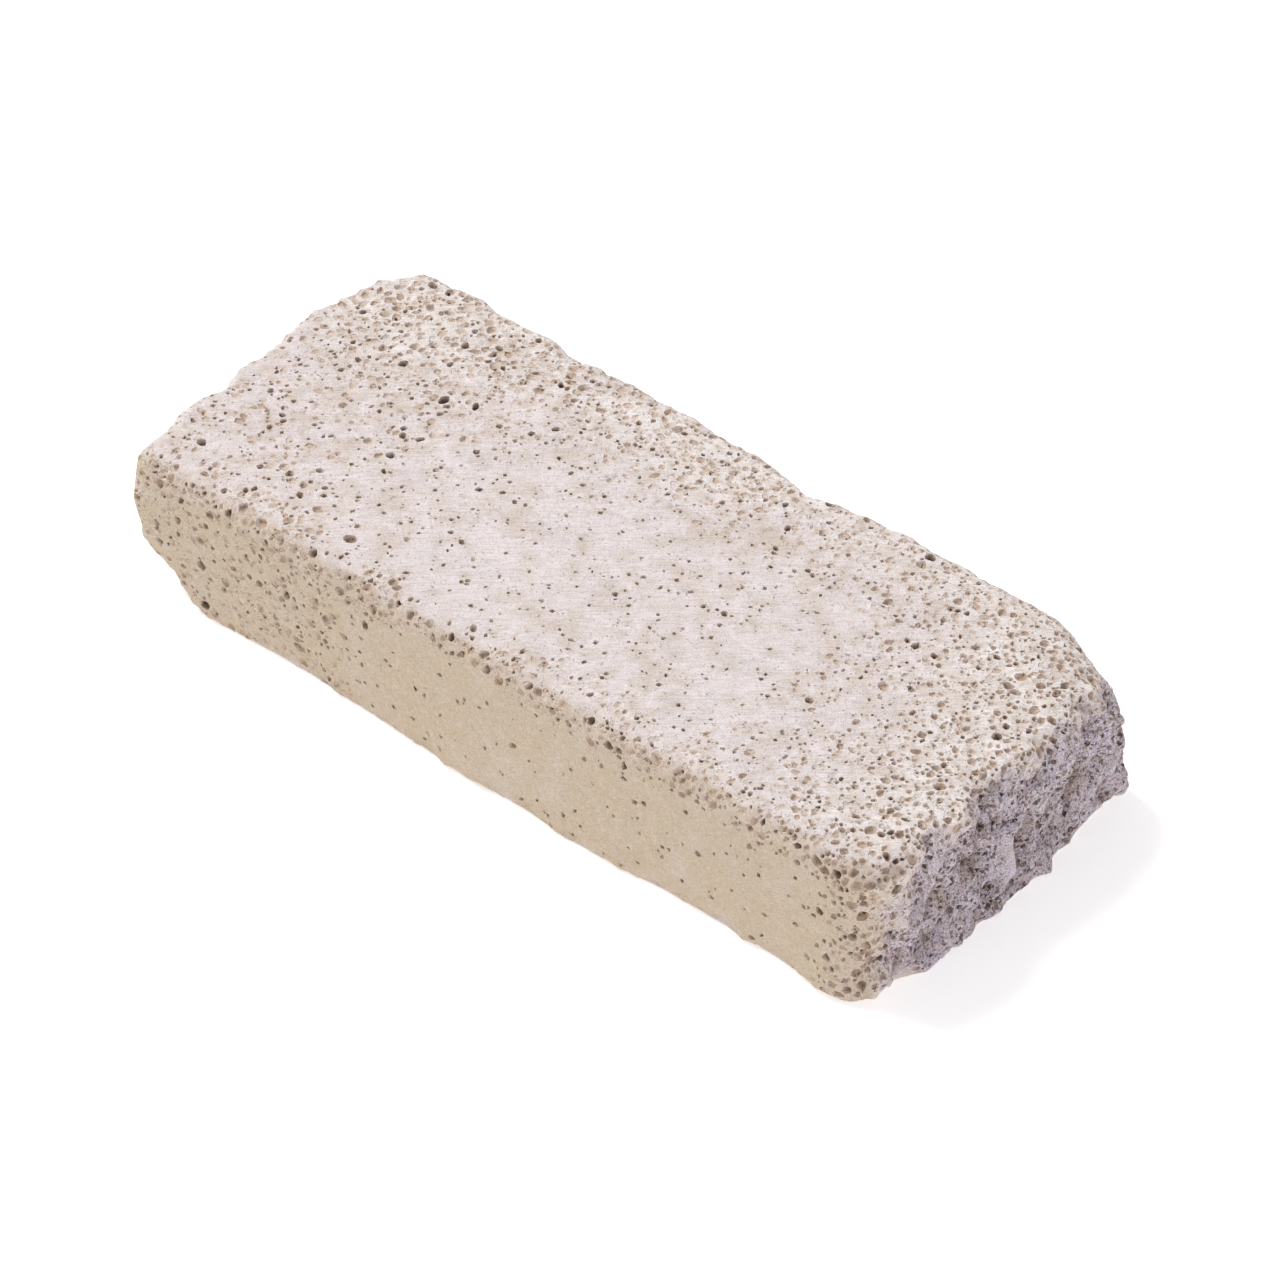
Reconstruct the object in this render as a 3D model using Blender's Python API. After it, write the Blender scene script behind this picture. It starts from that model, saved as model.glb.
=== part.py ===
"""Pumice scrubbing stone: one hand-sized bar of foamed volcanic glass.

The bar was sawn to a flat slab, rubbed smooth on top and along one side, and
snapped off at one end. Frame: +X runs along the bar to the broken end, -Y is the
smooth side, +Z is up, and the origin is on the floor under the middle of the bar.
Numbers are in millimetres and become metres where a mesh is made.
"""
import bmesh
import bpy
import numpy as np
from mathutils import Matrix, Vector

# ---------------------------------------------------------------- driving dimensions
MM = 0.001
LENGTH = 126.0           # between the flats of the two ends; the break has lobes past it
WIDTH = 53.0             # between the long sides, before their slow waves
THICKNESS = 22.4         # from the sawn bottom to the rubbed top
HALF_L = LENGTH / 2
HALF_W = WIDTH / 2
MID_Z = THICKNESS / 2

EDGE_RADIUS = 1.7        # wear on an ordinary edge
GRID_STEP = 1.15         # spacing of the points that are laid on the form
KEPT_SHARE = 0.13       # share of those triangles left after decimation
CORE_INSET = 9.0         # the form is star-shaped about a core this far inside it
SAW_PLANE = 0.03         # points this close to the sawn bottom lie exactly on it

# name, outward direction, a point on the flat
FLATS = [
    ("rubbed top", (0, 0, 1), (0, 0, THICKNESS)),
    ("sawn bottom", (0, 0, -1), (0, 0, 0)),
    ("smooth side", (0.004, -1, 0.010), (0, -HALF_W - 0.05, MID_Z)),
    ("rough back side", (0, 1, 0), (0, HALF_W + 0.45, MID_Z)),
    ("left end", (-1, 0.01, 0), (-HALF_L - 0.2, 0, MID_Z)),
    ("left end, back half", (-0.96, 0.28, 0), (-HALF_L + 0.3, HALF_W - 9.5, MID_Z)),
    ("left end, front half", (-0.985, -0.17, 0), (-HALF_L + 0.6, -HALF_W + 9.0, MID_Z)),
    ("left front corner", (-0.72, -0.66, -0.16), (-HALF_L - 1.6, -HALF_W - 1.5, MID_Z)),
    ("left front foot", (-0.50, -0.58, -0.64), (-HALF_L + 3.6, -HALF_W + 4.0, 3.0)),
    ("left back corner", (-0.72, 0.69, 0), (-HALF_L + 1.8, HALF_W - 1.7, MID_Z)),
    ("broken end", (1, 0.01, 0.02), (HALF_L + 0.1, 0, MID_Z)),
    ("right front corner", (0.8, -0.6, -0.06), (HALF_L - 0.7, -HALF_W + 1.0, MID_Z)),
    ("right back corner", (0.70, 0.71, 0.03), (HALF_L + 0.9, HALF_W + 0.2, MID_Z)),
    ("right back shoulder", (0.46, 0.68, 0.57), (HALF_L - 4.3, HALF_W - 4.0, THICKNESS - 2.1)),
]

# Places where an edge or a face stands back or forward: middle (x, y, z), half sizes
# along x, y and z, and how far and which way the surface is pushed there.
HOLLOWS = [
    ("scallop in the back rim", (8.5, HALF_W, THICKNESS), (7.0, 6.0, 8.0), (0, -1.6, -0.2)),
    ("nick in the back rim", (-30.0, HALF_W, THICKNESS), (6.5, 3.0, 4.0), (0, -0.5, 0)),
    ("nick in the left rim", (-HALF_L, -9.0, THICKNESS), (3.0, 3.0, 3.5), (0.6, 0, -0.3)),
    ("tooth of the left rim", (-HALF_L, -15.0, THICKNESS), (4.0, 2.5, 5.0), (-0.2, 0, 0)),
    ("shoulder of the left end", (-HALF_L, 11.0, THICKNESS), (5.0, 4.5, 14.0), (-1.3, 0, 0)),
    ("bulge of the left front corner", (-HALF_L, -HALF_W, 16.0), (6.0, 5.5, 12.0), (-1.4, -1, 0)),
    ("worn front rim, left", (-50.0, -HALF_W, THICKNESS), (10.0, 3.0, 4.0), (0, 0.3, -0.7)),
    ("worn front rim, middle", (-16.0, -HALF_W, THICKNESS), (9.0, 3.0, 3.5), (0, 0.3, -0.6)),
    ("crumbled front rim", (9.0, -HALF_W, THICKNESS), (14.0, 2.6, 3.5), (0, 0.4, -0.8)),
    ("crumbled front rim, right", (36.0, -HALF_W, THICKNESS), (9.0, 2.2, 3.0), (0, 0.4, -0.4)),
    ("dish near the back", (12.0, 14.5, THICKNESS), (7.5, 4.5, 6.0), (0, 0, -0.5)),
    ("dish at the front rim", (-1.4, -24.0, THICKNESS), (4.0, 3.2, 5.0), (0, 0, -0.8)),
    ("bulge of the side", (15.0, -HALF_W, 0), (9.0, 9.0, 9.0), (0, -0.8, 0)),
    ("bulge of the side, left", (-3.5, -HALF_W, 0), (6.0, 6.0, 6.0), (0, -0.7, 0)),
    ("flattened foot of the side", (-33.0, -HALF_W, -1.0), (12.0, 9.0, 8.5), (0, 0.7, 0)),
    ("lean foot of the side", (36.5, -HALF_W, -1.0), (9.0, 6.0, 6.0), (0, 0.2, 0)),
    ("heel of the side", (56.0, -HALF_W, 0), (4.0, 6.0, 8.0), (0, -1.2, 0)),
    ("bulge of the back, right", (43.0, HALF_W, 16.9), (8.0, 6.0, 9.0), (0, 0.35, 0)),
    ("near hollow of the break", (HALF_L, -6.1, 11.7), (6.0, 1.8, 2.1), (-3.2, 0, 0)),
    ("pocket under the hollow", (HALF_L, -7.6, 9.0), (6.0, 2.0, 1.7), (-1.9, 0, 0)),
    ("bite behind the corner", (HALF_L, -15.5, 12.0), (6.0, 3.5, 5.0), (-0.9, 0, 0)),
    ("crevice over the hollow", (HALF_L, -5.6, 17.6), (5.0, 2.0, 1.1), (-1.9, 0, -0.2)),
    ("second crevice", (HALF_L, -1.6, 15.2), (5.0, 1.6, 1.1), (-1.7, 0, 0)),
    ("bay in the lip", (HALF_L, -3.2, THICKNESS), (4.5, 3.0, 3.0), (-1.5, 0, -0.5)),
    ("second bay in the lip", (HALF_L, 9.4, THICKNESS), (4.5, 2.6, 2.4), (-1.2, 0, -0.4)),
    ("middle crevice", (HALF_L, 3.4, 8.4), (6.0, 1.3, 3.2), (-2.2, 0, 0)),
    ("far crevice", (HALF_L, 13.6, 11.0), (7.0, 1.5, 3.6), (-2.5, 0, 0)),
    ("far pitted hollow", (HALF_L, 17.4, 9.6), (6.0, 3.0, 3.4), (-1.7, 0, 0)),
    ("dark row at the foot", (HALF_L, -4.3, 4.2), (5.0, 2.8, 1.2), (-1.5, 0, 0)),
    ("step at the foot", (HALF_L, 16.5, -0.5), (6.0, 4.6, 3.2), (-0.9, 0, 0)),
    ("near foot", (HALF_L, -20.5, 0), (8.0, 3.2, 3.6), (-1.8, 0.6, 0)),
    ("back foot", (HALF_L, HALF_W - 2.5, 0), (6.0, 3.5, 3.5), (-1.2, -0.6, 0)),
    ("pale ridge", (HALF_L, -0.9, 8.6), (6.0, 1.5, 5.0), (1.5, 0, 0)),
    ("near lobe of the lip", (HALF_L, -1.6, 19.0), (5.0, 2.2, 1.8), (1.2, 0, 0)),
    ("far lobe of the lip", (HALF_L, 10.6, 17.6), (6.0, 2.2, 3.4), (1.5, 0, 0)),
    ("lip over the near half", (HALF_L, -10.5, 20.4), (4.0, 3.4, 2.4), (0.7, 0, 0)),
    ("bulge of the foot", (HALF_L, 2.5, 1.5), (6.0, 4.0, 3.0), (0.3, 0, 0)),
]

# Pits that stand out one by one: where (x, y, z), opening radius, depth.
TOP, FRONT = THICKNESS, -HALF_W
PITS = [
    ("triangular pit", (-28.1, -21.0, TOP), 1.05, 1.3),
    ("front rim pit 1", (-17.3, -24.0, TOP), 0.95, 1.1),
    ("front rim pit 2", (-13.3, -26.0, TOP - 1.0), 1.05, 1.0),
    ("front rim pit 3", (-5.0, -23.1, TOP), 0.9, 1.1),
    ("front rim pit 4", (-1.4, -25.0, TOP - 0.6), 1.1, 1.0),
    ("front rim pit 5", (6.7, -26.4, TOP - 0.6), 1.0, 1.1),
    ("front rim pit 6", (16.8, -26.2, TOP - 0.6), 1.1, 1.2),
    ("top pit 1", (-29.8, -13.7, TOP), 0.6, 1.0),
    ("top pit 2", (-10.2, 0.5, TOP), 0.6, 0.9),
    ("top pit 3", (-11.2, -10.0, TOP), 0.55, 0.9),
    ("top pit 4", (7.9, -17.1, TOP), 0.6, 1.0),
    ("top pit 5", (8.6, 0.3, TOP), 0.6, 1.0),
    ("top pit 6", (14.1, 6.9, TOP), 0.55, 0.8),
    ("dark pit", (35.8, -6.2, TOP), 0.95, 1.5),
    ("pair, first", (37.2, -14.4, TOP), 0.55, 0.9),
    ("pair, second", (38.6, -13.0, TOP), 0.5, 0.9),
    ("top pit 7", (48.4, -19.4, TOP), 0.6, 1.0),
    ("slit", (50.6, -0.8, TOP), 0.6, 1.1),
    ("top pit 8", (37.9, 1.3, TOP), 0.6, 0.9),
    ("dish pit", (12.5, 17.6, TOP), 0.95, 1.3),
    ("pit in the left field 1", (-38.1, -10.0, TOP), 0.6, 0.9),
    ("pit in the left field 2", (-41.3, 5.0, TOP), 0.65, 1.0),
    ("pit in the left field 3", (-54.6, 4.7, TOP), 0.6, 0.9),
    ("pit at the far lip", (60.6, 11.0, TOP - 0.4), 0.9, 1.2),
    ("side pit 1", (-34.4, FRONT, 13.0), 1.05, 1.2),
    ("side pit 2", (-20.6, FRONT, 15.7), 0.85, 1.0),
    ("side pit 3", (-32.3, FRONT, 7.0), 0.55, 0.7),
    ("side pit 4", (-23.9, FRONT, 9.7), 0.5, 0.6),
    ("side pit 5", (-53.5, FRONT, 14.8), 0.8, 1.0),
    ("side pit 6", (-0.1, FRONT, 7.0), 0.5, 0.6),
    ("side slit, upper half", (23.0, FRONT, 17.6), 0.65, 1.1),
    ("side slit, lower half", (23.1, FRONT, 15.6), 0.6, 0.9),
    ("corner pit 1", (59.2, FRONT + 0.5, 10.6), 0.9, 1.1),
    ("corner pit 2", (60.6, FRONT + 1.0, 16.6), 0.8, 1.1),
    ("corner pit 3", (59.0, FRONT + 0.5, 2.6), 0.8, 0.9),
    ("corner pit 4", (52.9, FRONT, 4.4), 0.75, 0.8),
    ("corner pit 5", (57.6, FRONT, 18.6), 0.75, 0.9),
    ("break pit 1", (HALF_L, -6.7, 11.0), 1.3, 1.6),
    ("break pit 2", (HALF_L, 13.5, 11.0), 1.1, 1.4),
    ("break pit 3", (HALF_L, -1.4, 15.3), 0.9, 1.2),
    ("break pit 4", (HALF_L, 17.2, 9.8), 0.9, 1.1),
    ("break pit 5", (HALF_L, -12.2, 9.1), 0.9, 1.0),
    ("break pit 6", (HALF_L, -5.3, 17.6), 0.9, 1.3),
]


# ---------------------------------------------------------------------------- noise
LATTICE_SIZE = 40
LATTICE = np.random.default_rng(11).uniform(-1.0, 1.0, (LATTICE_SIZE,) * 3)


def noise(points, size, shift=0.0):
    """Smooth noise from -1 to 1 at the points, with lumps about `size` wide."""
    place = points / size + shift
    cell = np.floor(place).astype(int)
    part = place - cell
    part = part * part * (3 - 2 * part)
    total = np.zeros(len(points))
    for corner in np.ndindex(2, 2, 2):
        weight = np.where(corner, part, 1 - part).prod(axis=1)
        i, j, k = ((cell + corner) % LATTICE_SIZE).T
        total += weight * LATTICE[i, j, k]
    return total


def ramp(value, low, high):
    """0 below low, 1 above high, smooth between."""
    share = np.clip((value - low) / (high - low), 0, 1)
    return share * share * (3 - 2 * share)


# ----------------------------------------------------------------------- smooth form
def unit(vector):
    vector = np.asarray(vector, float)
    return vector / np.linalg.norm(vector)


def flat_distances(points):
    """Signed distance of every point to every flat, one row for each flat."""
    return np.stack([(points - np.array(at, float)) @ unit(out) for _, out, at in FLATS])


def edge_radius(points):
    """Rounding of the edges: more at the worn corners, little where the bar stands."""
    x, y, z = points.T
    radius = np.full(len(points), EDGE_RADIUS)
    radius += 1.0 * np.exp(-((x + HALF_L) ** 2 + (y + HALF_W) ** 2) / 9.0 ** 2)
    radius += 1.2 * np.exp(-((x - HALF_L) ** 2 + (y - HALF_W) ** 2) / 12.0 ** 2)
    near_corner = np.exp(-((x - HALF_L) ** 2 + (y + HALF_W) ** 2) / 7.0 ** 2)
    radius += near_corner * (1.2 + 2.2 * ramp(z, 2.0, 9.0))
    return radius - 0.7 * (1 - ramp(z, 1.0, 6.0))


def form(points):
    """Signed distance to the flats' common solid with its edges rounded over."""
    radius = edge_radius(points)
    distances = flat_distances(points)
    over = np.sqrt((np.clip(distances + radius, 0, None) ** 2).sum(axis=0))
    return np.where(over > 0, over - radius, distances.max(axis=0))


def onto_form(points):
    """Slide points of the bounding box along lines from the core onto the form."""
    reach = np.array([HALF_L, HALF_W, MID_Z]) - CORE_INSET
    middle = np.array([0, 0, MID_Z])
    core = np.clip(points - middle, -reach, reach) + middle
    line = points - core
    line /= np.linalg.norm(line, axis=1, keepdims=True)
    near = np.zeros(len(points))
    far = np.full(len(points), 2.0 * CORE_INSET)
    for _ in range(30):
        half = (near + far) / 2
        inside = form(core + line * half[:, None]) < 0
        near = np.where(inside, half, near)
        far = np.where(inside, far, half)
    return core + line * near[:, None]


def normals(points):
    """Outward directions of the smooth form."""
    step = 0.05
    slopes = [form(points + step * axis) - form(points - step * axis) for axis in np.eye(3)]
    slopes = np.stack(slopes, axis=1)
    return slopes / np.linalg.norm(slopes, axis=1, keepdims=True)


# ---------------------------------------------------------------------------- relief
def break_depth(points):
    """How far the snapped face lies behind its plane: ridges with finer steps on them."""
    grain = points * (0.0, 1.25, 0.8)
    ridges = 1 - 2 * np.abs(noise(grain, 5.2, 3.3))
    return 0.35 - 0.6 * ridges + 0.4 * noise(grain, 2.3, 7.7)


def relief(points, out):
    """Which way and how far the real surface lies from the smooth form."""
    first, second = np.sort(flat_distances(points), axis=0)[-1:-3:-1]
    on_edge = 1 - ramp(first - second, 0.6, 3.5)
    depth = 0.10 * noise(points, 11.0) + 0.06 * noise(points, 3.7, 5.3)
    depth += on_edge * (0.10 + 0.26 * noise(points, 4.3, 9.1) + 0.17 * noise(points, 1.9, 2.7))
    depth *= 1 - ramp(-out[:, 2], 0.5, 0.95)
    moved = -out * depth[:, None]
    moved[:, 0] -= ramp(points[:, 0], HALF_L - 5, HALF_L - 0.5) * break_depth(points)
    ragged = points.copy()
    ragged[:, 1] += 0.7 * noise(points, 1.8, 21.3)
    ragged[:, 2] += 0.7 * noise(points, 1.8, 13.7)
    for _, at, half, push in HOLLOWS:
        away = (((ragged - at) / half) ** 2).sum(axis=1)
        moved += np.outer(np.exp(-away), push)
    return moved


def surface(points):
    """Points of the bounding box, laid on the finished surface."""
    on_form = onto_form(points)
    out = normals(on_form)
    laid = on_form + relief(on_form, out)
    laid[laid[:, 2] < SAW_PLANE, 2] = 0.0
    return laid, out


# ------------------------------------------------------------------------------ mesh
def box_grid():
    """A box as large as the bar, cut into a grid on all six sides, in millimetres."""
    grid = bmesh.new()
    sizes = (LENGTH, WIDTH, THICKNESS)
    place = Matrix.Translation((0, 0, MID_Z)) @ Matrix.Diagonal((*sizes, 1))
    bmesh.ops.create_cube(grid, size=1.0, matrix=place)
    for axis, size in enumerate(sizes):
        along = [e for e in grid.edges if abs((e.verts[1].co - e.verts[0].co)[axis]) > 1e-3]
        bmesh.ops.subdivide_edges(grid, edges=along, cuts=round(size / GRID_STEP) - 1)
    return grid


def bar_object():
    """The bar without its pits: grid, laid on the surface, then thinned where it is flat."""
    grid = box_grid()
    points = np.array([v.co for v in grid.verts])
    laid, _ = surface(points)
    for vert, at in zip(grid.verts, laid):
        vert.co = at * MM
    mesh = bpy.data.meshes.new("pumice_stone")
    grid.to_mesh(mesh)
    grid.free()
    bar = bpy.data.objects.new("pumice_stone", mesh)
    bpy.context.collection.objects.link(bar)
    thin = bar.modifiers.new("thin", "DECIMATE")
    thin.ratio = KEPT_SHARE
    thin.use_collapse_triangulate = True
    thinned = bar.evaluated_get(bpy.context.evaluated_depsgraph_get())
    ready = bpy.data.meshes.new_from_object(thinned)
    bar.modifiers.remove(thin)
    bar.data = ready
    ready.name = "pumice_stone"
    for vert in ready.vertices:
        if vert.co.z < SAW_PLANE * MM:
            vert.co.z = 0.0
    return bar


# ------------------------------------------------------------------------------ pits
def scattered_pits(count, seed):
    """More pits of the size that shows from a step away: along the crumbled front rim,
    over the break and in the porous fields of the top, none of them touching."""
    rng = np.random.default_rng(seed)
    left, right, back = -HALF_L, HALF_L, HALF_W
    fields = [  # share, low corner and high corner on the bounding box, opening radii
        (0.22, (left + 4, FRONT, TOP), (right - 4, FRONT + 2.5, TOP), (0.6, 1.0)),
        (0.26, (right, FRONT + 3, 2.5), (right, back - 4, TOP - 1.5), (0.65, 1.2)),
        (0.16, (26, FRONT + 3, TOP), (right - 3, back - 3, TOP), (0.5, 0.85)),
        (0.10, (left + 3, 4, TOP), (26, back - 1, TOP), (0.5, 0.85)),
        (0.06, (left + 3, FRONT + 3, TOP), (-30, 4, TOP), (0.5, 0.75)),
        (0.08, (left + 4, back, 2.5), (right - 4, back, TOP - 1), (0.6, 0.95)),
        (0.07, (left, FRONT + 3, 3.0), (left, back - 3, TOP - 1), (0.6, 0.95)),
        (0.05, (left + 4, FRONT, 3.0), (-14, FRONT, TOP - 3), (0.5, 0.75)),
    ]
    pits = []
    for share, low, high, (small, large) in fields:
        for _ in range(round(share * count)):
            at = rng.uniform(low, high)
            radius = small + (large - small) * rng.random() ** 2
            pits.append((at, radius, radius * rng.uniform(0.9, 1.3)))
    return pits


def spaced(pits, gap=0.35):
    """Pits on the surface, as ball middles, directions and radii, that keep a gap."""
    places = np.array([at for at, _, _ in pits], float)
    laid, out = surface(places)
    kept = []
    for (_, opening, depth), at, away in zip(pits, laid, out):
        radius = (opening ** 2 + depth ** 2) / (2 * depth)
        middle = at + away * (radius - depth)
        if all(np.linalg.norm(middle - m) > radius + r + gap for m, _, r in kept):
            kept.append((middle, away, radius))
    return kept


def pit_cutters(pits, seed):
    """One mesh of lumpy balls, a little longer one way than the other."""
    rng = np.random.default_rng(seed)
    balls = bmesh.new()
    for middle, away, radius in pits:
        turn = Vector(away).to_track_quat("Z", "Y").to_matrix().to_4x4()
        spin = Matrix.Rotation(rng.uniform(0, 2 * np.pi), 4, "Z")
        long = rng.uniform(1.0, 1.22)
        place = Matrix.Translation(Vector(middle)) @ turn @ spin
        ball = bmesh.ops.create_icosphere(balls, subdivisions=1, radius=1.0)["verts"]
        for vert in ball:
            lump = rng.uniform(0.86, 1.06)
            shaped = Vector((vert.co.x * long, vert.co.y / long, vert.co.z))
            vert.co = place @ (shaped * lump * radius)
    bmesh.ops.scale(balls, vec=(MM, MM, MM), verts=balls.verts)
    mesh = bpy.data.meshes.new("pit_cutters")
    balls.to_mesh(mesh)
    balls.free()
    cutters = bpy.data.objects.new("pit_cutters", mesh)
    cutters.hide_render = True
    cutters.display_type = "WIRE"
    bpy.context.collection.objects.link(cutters)
    return cutters


def centre_on_floor(bar, cutters):
    """Put the origin on the floor under the middle of the bar's outline."""
    corners = np.array([v.co for v in bar.data.vertices])
    middle = (corners.min(axis=0) + corners.max(axis=0)) / 2
    for thing in (bar, cutters):
        thing.data.transform(Matrix.Translation((-middle[0], -middle[1], 0)))


def cut_pits(bar, cutters):
    cut = bar.modifiers.new("pits", "BOOLEAN")
    cut.operation = "DIFFERENCE"
    cut.solver = "EXACT"
    cut.object = cutters


# -------------------------------------------------------------------------- material
def pumice_material():
    """Dry, dusty, pinkish off-white stone."""
    material = bpy.data.materials.new("pumice")
    material.use_nodes = True
    shader = material.node_tree.nodes["Principled BSDF"]
    shader.inputs["Base Color"].default_value = (0.70, 0.62, 0.58, 1.0)
    shader.inputs["Roughness"].default_value = 0.95
    shader.inputs["Metallic"].default_value = 0.0
    return material


def main():
    for old in list(bpy.data.objects):
        bpy.data.objects.remove(old)
    bar = bar_object()
    named = [(at, opening, depth) for _, at, opening, depth in PITS]
    pits = spaced(named + scattered_pits(128, seed=5))
    cutters = pit_cutters(pits, seed=6)
    centre_on_floor(bar, cutters)
    cut_pits(bar, cutters)
    bar.data.materials.append(pumice_material())


main()
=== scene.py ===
# %% [markdown]
# # A pumice scrubbing stone
#
# Pumice is glass that a volcano blew full of bubbles. This bar was sawn from a block,
# rubbed smooth on its top and along one side, and snapped off at one end. All of its
# look comes from three things: a worn oblong form, thousands of cut-open bubbles, and
# dry stone that is dusty pink-white where it was rubbed, tan down the smooth side and
# mauve-grey where it broke. These face colours are partly painted light, and the pits
# and fine pores carry painted shade. The cells below make them in that order.
#
# The finished solid of the stone is loaded first. It fixes the size and the place, and
# the finer stone made here stands exactly where it stands.

# %% Load the frame
import math

import bpy
import numpy as np
from mathutils import Matrix, Vector
from mathutils.bvhtree import BVHTree
from mathutils.kdtree import KDTree


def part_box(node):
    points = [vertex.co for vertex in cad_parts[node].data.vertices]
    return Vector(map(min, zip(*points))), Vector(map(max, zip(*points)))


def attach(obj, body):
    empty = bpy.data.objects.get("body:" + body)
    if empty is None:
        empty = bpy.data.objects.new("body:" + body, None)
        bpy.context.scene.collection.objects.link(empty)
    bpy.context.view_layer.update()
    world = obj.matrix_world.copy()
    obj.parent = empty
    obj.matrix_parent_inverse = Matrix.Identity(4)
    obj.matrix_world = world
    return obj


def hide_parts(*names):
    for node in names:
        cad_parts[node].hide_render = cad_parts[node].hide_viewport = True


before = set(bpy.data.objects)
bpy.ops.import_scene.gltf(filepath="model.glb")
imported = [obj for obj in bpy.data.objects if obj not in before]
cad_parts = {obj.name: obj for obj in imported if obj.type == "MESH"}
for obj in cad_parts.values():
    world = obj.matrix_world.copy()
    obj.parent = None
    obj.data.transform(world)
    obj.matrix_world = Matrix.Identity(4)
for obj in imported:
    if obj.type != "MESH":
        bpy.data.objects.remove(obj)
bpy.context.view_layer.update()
stone_low, stone_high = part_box("pumice_stone")
MM = 0.001
print("the stone's solid, mm:", [round((b - a) / MM, 1) for a, b in zip(stone_low, stone_high)])

# %% [markdown]
# ## Camera
#
# A long lens from well back keeps the bar's long edges almost parallel, as in a product
# picture. The place is given as a person would walk to it: an aim point inside the
# stone, then an azimuth round it, an elevation above the table and a distance.

# %% Camera
CAMERA_AIM = Vector((1.42, 0.57, 8.76)) * MM
CAMERA_AZIMUTH = math.radians(40.975)
CAMERA_ELEVATION = math.radians(41.657)
CAMERA_DISTANCE = 0.7726


def aimed(azimuth, elevation, distance, aim):
    """A matrix that looks at the aim point from that far off, with -Z as its view."""
    back = Vector((math.sin(azimuth) * math.cos(elevation),
                   -math.cos(azimuth) * math.cos(elevation),
                   math.sin(elevation)))
    right = Vector((math.cos(azimuth), math.sin(azimuth), 0))
    matrix = Matrix((right, back.cross(right), back)).transposed().to_4x4()
    matrix.translation = Vector(aim) + back * distance
    return matrix


def placed(name, data, matrix=Matrix()):
    """A new object with this data, in the scene and in its place."""
    thing = bpy.data.objects.new(name, data)
    thing.matrix_world = matrix
    bpy.context.collection.objects.link(thing)
    return thing


lens = bpy.data.cameras.new("camera")
lens.lens = 170
lens.sensor_width = 36
lens.clip_start = 0.05
camera = placed("camera", lens,
                aimed(CAMERA_AZIMUTH, CAMERA_ELEVATION, CAMERA_DISTANCE, CAMERA_AIM))
bpy.context.scene.camera = camera

# %% [markdown]
# ## The worn form
#
# A worn slab is a box whose corners have been taken off. The simplest honest way to
# write that down is a short list of flats: each has a name, a direction and a point it
# passes through, and the stone is what lies behind all of them. Where two or three flats
# meet, the sum of squares below rounds the edge, and the radius changes from place to
# place, because corners that stick out wear the most.

# %% Flats
LENGTH = 126.0
WIDTH = 53.0
THICKNESS = 22.4
HALF_L = LENGTH / 2
HALF_W = WIDTH / 2
MID_Z = THICKNESS / 2
LEFT, END, FRONT, BACK, TOP = -HALF_L, HALF_L, -HALF_W, HALF_W, THICKNESS
EDGE_RADIUS = 1.7

FLATS = [  # name, outward direction, a point on the flat
    ("rubbed top", (0, 0, 1), (0, 0, TOP)),
    ("sawn bottom", (0, 0, -1), (0, 0, 0)),
    ("smooth side", (0.004, -1, 0.010), (0, FRONT - 0.05, MID_Z)),
    ("rough back side", (0, 1, 0), (0, BACK + 0.45, MID_Z)),
    ("left end", (-1, 0.01, 0), (LEFT - 0.2, 0, MID_Z)),
    ("left end, back half", (-0.96, 0.28, 0), (LEFT + 0.3, BACK - 9.5, MID_Z)),
    ("left end, front half", (-0.985, -0.17, 0), (LEFT + 0.6, FRONT + 9, MID_Z)),
    ("left front corner", (-0.72, -0.66, -0.16), (LEFT - 1.6, FRONT - 1.5, MID_Z)),
    ("left front foot", (-0.50, -0.58, -0.64), (LEFT + 3.6, FRONT + 4, 3)),
    ("left back corner", (-0.72, 0.69, 0), (LEFT + 1.8, BACK - 1.7, MID_Z)),
    ("broken end", (1, 0.01, 0.02), (END + 0.1, 0, MID_Z)),
    ("right front corner", (0.8, -0.6, -0.06), (END - 0.7, FRONT + 1, MID_Z)),
    ("right back corner", (0.70, 0.71, 0.03), (END + 0.9, BACK + 0.2, MID_Z)),
    ("right back shoulder", (0.46, 0.68, 0.57), (END - 4.3, BACK - 4, TOP - 2.1)),
]


def ramp(value, low, high):
    """0 below low, 1 above high, smooth between."""
    share = np.clip((value - low) / (high - low), 0, 1)
    return share * share * (3 - 2 * share)


def unit(vector):
    """A direction with length 1."""
    vector = np.asarray(vector, float)
    return vector / np.linalg.norm(vector)


def units(vectors):
    """The same for each row of an array."""
    return vectors / np.linalg.norm(vectors, axis=1, keepdims=True)


def flat_distances(points):
    """Signed distance of every point to every flat, one row for each flat."""
    return np.stack([(points - np.array(at, float)) @ unit(out) for _, out, at in FLATS])


def edge_radius(points):
    """Rounding of the edges: more at the worn corners, little where the bar stands."""
    x, y, z = points.T

    def near(corner_x, corner_y, size):
        return np.exp(-((x - corner_x) ** 2 + (y - corner_y) ** 2) / size ** 2)

    radius = EDGE_RADIUS + near(LEFT, FRONT, 9.0) + 1.2 * near(END, BACK, 12.0)
    radius += near(END, FRONT, 7.0) * (1.2 + 2.2 * ramp(z, 2.0, 9.0))
    return radius - 0.7 * (1 - ramp(z, 1.0, 6.0))


def form(points):
    """Signed distance to the flats' common solid with its edges rounded over."""
    radius = edge_radius(points)
    distances = flat_distances(points)
    over = np.sqrt((np.clip(distances + radius, 0, None) ** 2).sum(axis=0))
    return np.where(over > 0, over - radius, distances.max(axis=0))


# %% [markdown]
# A mesh gets onto that form by shrink-wrapping: start with points spread evenly over a
# box, and slide each one towards the core of the stone until the signed distance says
# it has arrived. Halving the step thirty times finds the place to far less than a hair.

# %% Slide points onto the form
CORE_INSET = 9.0
HALVINGS = 30


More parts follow.
